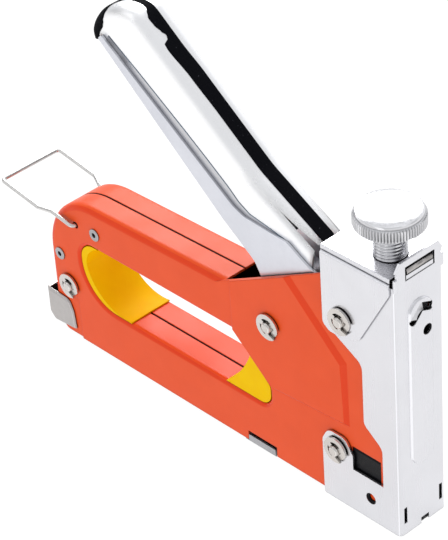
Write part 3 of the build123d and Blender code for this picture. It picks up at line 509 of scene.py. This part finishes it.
def crown_route():
    """Evenly spaced (x, z) points along the lever's crown, over the tip and down its end."""
    corners = [Vector(p) for p in CROWN_CORNERS]
    tip = [Vector(p) for p in TIP_ARC]
    centre, _ = circle_through(*tip)
    first = tip[0] - centre
    sweep = first.angle_signed(tip[2] - centre)
    arc = [
        centre + Matrix.Rotation(-sweep * k / ARC_PARTS, 2) @ first
        for k in range(1, ARC_PARTS + 1)
    ]
    rough = []
    for start, end in zip(corners, corners[1:]):
        rough += [start.lerp(end, k / LEG_PARTS) for k in range(LEG_PARTS)]
    rough += arc
    rough += [arc[-1].lerp(Vector(TIP_HEEL), k / HEEL_PARTS) for k in range(1, HEEL_PARTS + 1)]
    route = [rough[0]]
    for point in rough[1:]:
        while (point - route[-1]).length > ROUTE_STEP:
            route.append(route[-1] + (point - route[-1]).normalized() * ROUTE_STEP)
    for _ in range(ROUTE_SMOOTHING):
        inner = [(a + 2 * b + c) / 4 for a, b, c in zip(route, route[1:], route[2:])]
        route = [route[0]] + inner + [route[-1]]
    return route


def width_at(x, widths):
    """The strip's reach from the middle, over crown and shoulder, where the crown is at x."""
    for (x0, w0), (x1, w1) in zip(widths, widths[1:]):
        if x >= x1:
            share = (x0 - x) / (x0 - x1)
            share = share * share * (3 - 2 * share)
            return (w0 + (w1 - w0) * share) * MM
    return widths[-1][1] * MM


def over_shoulder(lateral, rise):
    """Sideways place and height of a point this far from the middle, over crown and shoulder."""
    side = 1 if lateral >= 0 else -1
    beyond = abs(lateral) - CROWN_FLAT
    if beyond <= 0:
        return lateral, rise
    turn = min(beyond / SHOULDER_R, pi / 2)
    straight = max(beyond - SHOULDER_R * pi / 2, 0.0)
    radius = SHOULDER_R + rise
    return (
        side * (CROWN_FLAT + radius * sin(turn)),
        radius * cos(turn) - SHOULDER_R - straight,
    )


def rubber_strip():
    """The grip: a strip let into the crown, pinched near the tip, with a cap over the end."""
    route = crown_route()
    points = []
    for index, point in enumerate(route):
        before, after = route[max(index - 1, 0)], route[min(index + 1, len(route) - 1)]
        along = (after - before).normalized()
        outward = Vector((-along.y, along.x))
        if outward.dot(point - Vector(INSIDE_LEVER)) < 0:
            outward = -outward
        for column in range(STRIP_COLUMNS):
            across = column / (STRIP_COLUMNS - 1) * 2 - 1
            half = width_at(point.x, NEAR_WIDTHS if across < 0 else FAR_WIDTHS)
            rise = STRIP_T * (1 - EDGE_TUCK * abs(across) ** EDGE_POWER)
            y, height = over_shoulder(half * sin(across * pi / 2), rise)
            x, z = point.x * MM + outward.x * height, point.y * MM + outward.y * height
            points.append((x, y, z))
    faces = grid_faces(len(route), STRIP_COLUMNS)
    return mesh_object("grip_strip", points, faces, MATERIALS["black_rubber"])


SKIRT_LINE = [                         # x and z along the band, and its width there
    (-129.0, 138.6, 2.6), (-116.0, 129.2, 3.6), (-106.0, 122.0, 4.1), (-96.0, 114.9, 4.5),
    (-86.0, 107.9, 4.6), (-76.0, 101.0, 4.4), (-71.0, 97.2, 4.1), (-66.0, 95.2, 3.5),
    (-56.0, 94.6, 2.4), (-46.0, 93.8, 1.2),
]
SKIRT_LEAN = (0.55, 0.83)              # from the band's lower edge to its upper one, in x and z
SKIRT_DROP = 1.5                       # the lower edge, under the line
SHELL_FACE, SKIRT_PROUD = 7.25, 0.06   # the shell's side from the middle, and the band beyond it
SHADE_LINE_LOW, SHADE_LINE_HIGH = 0.45, 0.25       # width of the dark line of painted shade along each edge
SKIRT_T = 0.12


def skirt_band(side):
    """A grey band low on the lever shell's side standing for its flared skirt, its darker grey
    painted shade, with a dark line of painted shade along both its edges.
    """
    face = side * (SHELL_FACE + SKIRT_PROUD) * MM
    points = []
    for x, z, width in SKIRT_LINE:
        for step in (0.0, SHADE_LINE_LOW, width - SHADE_LINE_HIGH, width):
            place_x = (x + SKIRT_LEAN[0] * step) * MM
            points.append((place_x, face, (z - SKIRT_DROP + SKIRT_LEAN[1] * step) * MM))
    faces = grid_faces(len(SKIRT_LINE), 4)
    name = f"skirt_band_{side_name(side)}"
    piece = mesh_object(name, points, faces, MATERIALS["satin_steel"])
    # The outer rows of faces get the dark blued steel, as lines of painted shade.
    piece.data.materials.append(MATERIALS["blued_steel"])
    for polygon in piece.data.polygons:
        polygon.material_index = 0 if polygon.index % 3 == 1 else 1
    return thicken(piece, SKIRT_T)


# ---------------------------------------------------------------- nose
LIP_CENTRE, LIP_R = (3.0, 104.25), 0.95             # x and z
LIP_START, LIP_SWEEP, LIP_PARTS = -80, 155, 12      # degrees
LIP_SPAN = (-5.4, 6.2)                              # across the nose, in y
LIP_T = 0.25
HOOK_ARC = [(-3.6, 84.8), (0.2, 88.6), (4.2, 87.0)]         # y and z along the hook slot
HOOK_SHARE, HOOK_PARTS = 0.66, 16                           # how much of it has a lip
HOOK_SECTION = [(1.5, 3.75), (0.2, 3.85), (-1.0, 4.2), (-1.5, 4.55)]  # outward of the arc, and x
HOLE_CENTRE = (-9.3, 9.2)                           # x and z
HOLE_RINGS = [(2.15, 10.9), (1.75, 10.7), (1.35, 10.2)]     # radius, and y from the middle
HOLE_COLUMNS = 48
SHADE_T = 0.1


def bent_sheet(name, profile, y_low, y_high, material, thickness):
    """A sheet bent to this (x, z) profile, across the nose from one y to the other."""
    points = [(x * MM, y * MM, z * MM) for x, z in profile for y in (y_low, y_high)]
    piece = mesh_object(name, points, grid_faces(len(profile), 2), material)
    return thicken(piece, thickness)


def shade(name, x, z_low, z_high, y_low, y_high):
    """A dark sheet behind a slot of the front plate, standing for the shade in the opening."""
    profile = [(x, z_low), (x, z_high)]
    return bent_sheet(name, profile, y_low, y_high, MATERIALS["black_plastic"], SHADE_T)


def slot_lip():
    """The rounded lip on the top plate's tab, in the slot of the front plate."""
    turns = [radians(LIP_START + LIP_SWEEP * k / LIP_PARTS) for k in range(LIP_PARTS + 1)]
    x, z = LIP_CENTRE
    profile = [(x + LIP_R * cos(turn), z + LIP_R * sin(turn)) for turn in turns]
    return bent_sheet("slot_lip", profile, *LIP_SPAN, MATERIALS["dull_steel"], LIP_T)


def hook_lip():
    """The sloping lip pressed in along most of the hook slot above the rib."""
    start, middle, end = [Vector(p) for p in HOOK_ARC]
    centre, radius = circle_through(start, middle, end)
    first = start - centre
    sweep = -first.angle_signed(end - centre) * HOOK_SHARE
    points = []
    for k in range(HOOK_PARTS + 1):
        spoke = (Matrix.Rotation(sweep * k / HOOK_PARTS, 2) @ first).normalized()
        for beyond, x in HOOK_SECTION:
            place = centre + spoke * (radius + beyond)
            points.append((x * MM, place.x * MM, place.y * MM))
    faces = grid_faces(HOOK_PARTS + 1, len(HOOK_SECTION))
    return mesh_object("hook_lip", points, faces, MATERIALS["satin_steel"])


def hole_shade(side):
    """A dark cone in a side hole of the nose, standing for the shade on the hole's edge."""
    x, z = HOLE_CENTRE
    points = []
    for radius, y in HOLE_RINGS:
        for k in range(HOLE_COLUMNS):
            turn = tau * k / HOLE_COLUMNS
            place_x, place_z = x + radius * cos(turn), z + radius * sin(turn)
            points.append((place_x * MM, side * y * MM, place_z * MM))
    faces = grid_faces(len(HOLE_RINGS), HOLE_COLUMNS, wrap=True)
    name = f"hole_shade_{side_name(side)}"
    return mesh_object(name, points, faces, MATERIALS["black_plastic"])


# The dark sheets and cones below stand for shade in the nose's slots and holes; the lips are steel.
for piece, slot in (
    (slot_lip(), "bright_steel"),
    (shade("slot_shade", x=3.2, z_low=103.3, z_high=106.5, y_low=-6.2, y_high=7.0), "black_plastic"),
    (hook_lip(), "bright_steel"),
    (shade("hook_shade", x=3.4, z_low=82.5, z_high=90.5, y_low=-4.2, y_high=4.2), "black_plastic"),
    (shade("exit_shade", x=3.25, z_low=0.1, z_high=2.4, y_low=-1.0, y_high=2.6), "black_plastic"),
    (hole_shade(1), "black_plastic"),
    (hole_shade(-1), "black_plastic"),
):
    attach(piece, "body")

for side in (-1, 1):
    band = skirt_band(side)
    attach(band, "lever")

for piece, node in (
    (knurled_knob(), "adjuster_knob"),
    (threaded_shank(), "adjuster_screw"),
    (rubber_strip(), "lever_grip"),
):
    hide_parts(node)
    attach(piece, BODY_OF[node])


# ---------------------------------------------------------------- stage, in metres
FLOOR_HALF = 3.0
FLOOR_GAP = 0.0002                     # under the model, so that their faces don't meet
FLOOR_TONE, FLOOR_GLOW = 0.12, 0.97
LIGHTS = [                             # name, place, aim, width, height, power
    ("key", (-0.75, -0.75, 0.55), (-0.08, 0, 0.06), 0.6, 0.6, 0.9),
    ("top", (-0.25, 0.1, 1.0), (-0.08, 0, 0.06), 0.8, 0.6, 0.6),
    ("back", (-0.85, 0.65, 0.75), (-0.10, 0, 0.06), 0.8, 0.5, 8.0),
    ("front", (0.9, 0.1, 0.5), (0.0, 0, 0.06), 0.6, 0.8, 0.8),
]
STUDIO_LEVEL = 0.80
STUDIO_COLOUR = (0.97, 0.98, 1.0)
STUDIO_CORNERS = [                     # direction, cosine at the rim, change of level
    ((0.75, 0.62, 0.25), 0.80, -0.60),
    ((-0.80, -0.58, 0.12), 0.84, -0.45),
    ((-0.10, 0.95, 0.30), 0.75, 0.40),
]
CAMERA_TARGET, CAMERA_DISTANCE = (-0.0868, 0.0, 0.0595), 0.860
CAMERA_AZIMUTH, CAMERA_ELEVATION, CAMERA_ROLL = 48.66, 35.30, -4.17     # degrees
CAMERA_SENSOR, CAMERA_LENS = 36.0, 168.67                               # millimetres


def floor():
    """A white floor that glows, so that it is as bright as the studio's background."""
    material = bpy.data.materials.new("floor_white")
    material.use_nodes = True
    feed(material.node_tree.links, material.node_tree.nodes["Principled BSDF"], {
        "Base Color": opaque((FLOOR_TONE, FLOOR_TONE, FLOOR_TONE)),
        "Roughness": 0.9,
        "Specular IOR Level": 0.0,
        "Emission Color": opaque((1, 1, 1)),
        "Emission Strength": FLOOR_GLOW,
    })
    around = ((-1, -1), (1, -1), (1, 1), (-1, 1))
    corners = [(x * FLOOR_HALF, y * FLOOR_HALF, 0) for x, y in around]
    plane = mesh_object("floor", corners, [(0, 1, 2, 3)], material, smooth=False)
    plane.location.z = cad_box[0][2] - FLOOR_GAP


def area_light(name, place, aim, width, height, power):
    """A soft rectangular light aimed at a point."""
    light = bpy.data.lights.new(name, "AREA")
    light.shape = "RECTANGLE"
    light.size = width
    light.size_y = height
    light.energy = power
    lamp = bpy.data.objects.new(name, light)
    lamp.location = place
    lamp.rotation_euler = (Vector(aim) - Vector(place)).to_track_quat("-Z", "Y").to_euler()
    bpy.context.scene.collection.objects.link(lamp)


def surroundings():
    """A pale studio, darker or brighter towards its corners."""
    world = bpy.data.worlds.new("studio")
    bpy.context.scene.world = world
    world.use_nodes = True
    nodes, links = world.node_tree.nodes, world.node_tree.links
    direction = nodes.new("ShaderNodeTexCoord").outputs["Generated"]
    level = STUDIO_LEVEL
    for corner, rim, change in STUDIO_CORNERS:
        toward = nodes.new("ShaderNodeVectorMath")
        toward.operation = "DOT_PRODUCT"
        feed(links, toward, {0: direction, 1: Vector(corner).normalized()})
        fade = nodes.new("ShaderNodeMapRange")
        fade.interpolation_type = "SMOOTHSTEP"
        feed(links, fade, {"Value": toward.outputs["Value"], "From Min": rim, "To Max": change})
        total = nodes.new("ShaderNodeMath")
        feed(links, total, {0: level, 1: fade.outputs[0]})
        level = total.outputs[0]
    feed(links, nodes["Background"], {"Color": opaque(STUDIO_COLOUR), "Strength": level})


def camera():
    """The view: from the nose's end, the tool's right side and above, with a long lens."""
    azimuth, elevation = radians(CAMERA_AZIMUTH), radians(CAMERA_ELEVATION)
    roll = radians(CAMERA_ROLL)
    back = Vector((sin(azimuth) * cos(elevation), -cos(azimuth) * cos(elevation), sin(elevation)))
    right = Vector((cos(azimuth), sin(azimuth), 0))
    up = back.cross(right)
    turned_right = cos(roll) * right + sin(roll) * up
    turned_up = -sin(roll) * right + cos(roll) * up
    lens = bpy.data.cameras.new("camera")
    lens.sensor_width = CAMERA_SENSOR
    lens.lens = CAMERA_LENS
    eye = bpy.data.objects.new("camera", lens)
    turn = Matrix((turned_right, turned_up, back)).transposed().to_4x4()
    eye.matrix_world = Matrix.Translation(Vector(CAMERA_TARGET) + CAMERA_DISTANCE * back) @ turn
    bpy.context.scene.collection.objects.link(eye)
    bpy.context.scene.camera = eye


floor()
for light in LIGHTS:
    area_light(*light)
surroundings()
camera()
bpy.context.scene.view_settings.view_transform = "Standard"
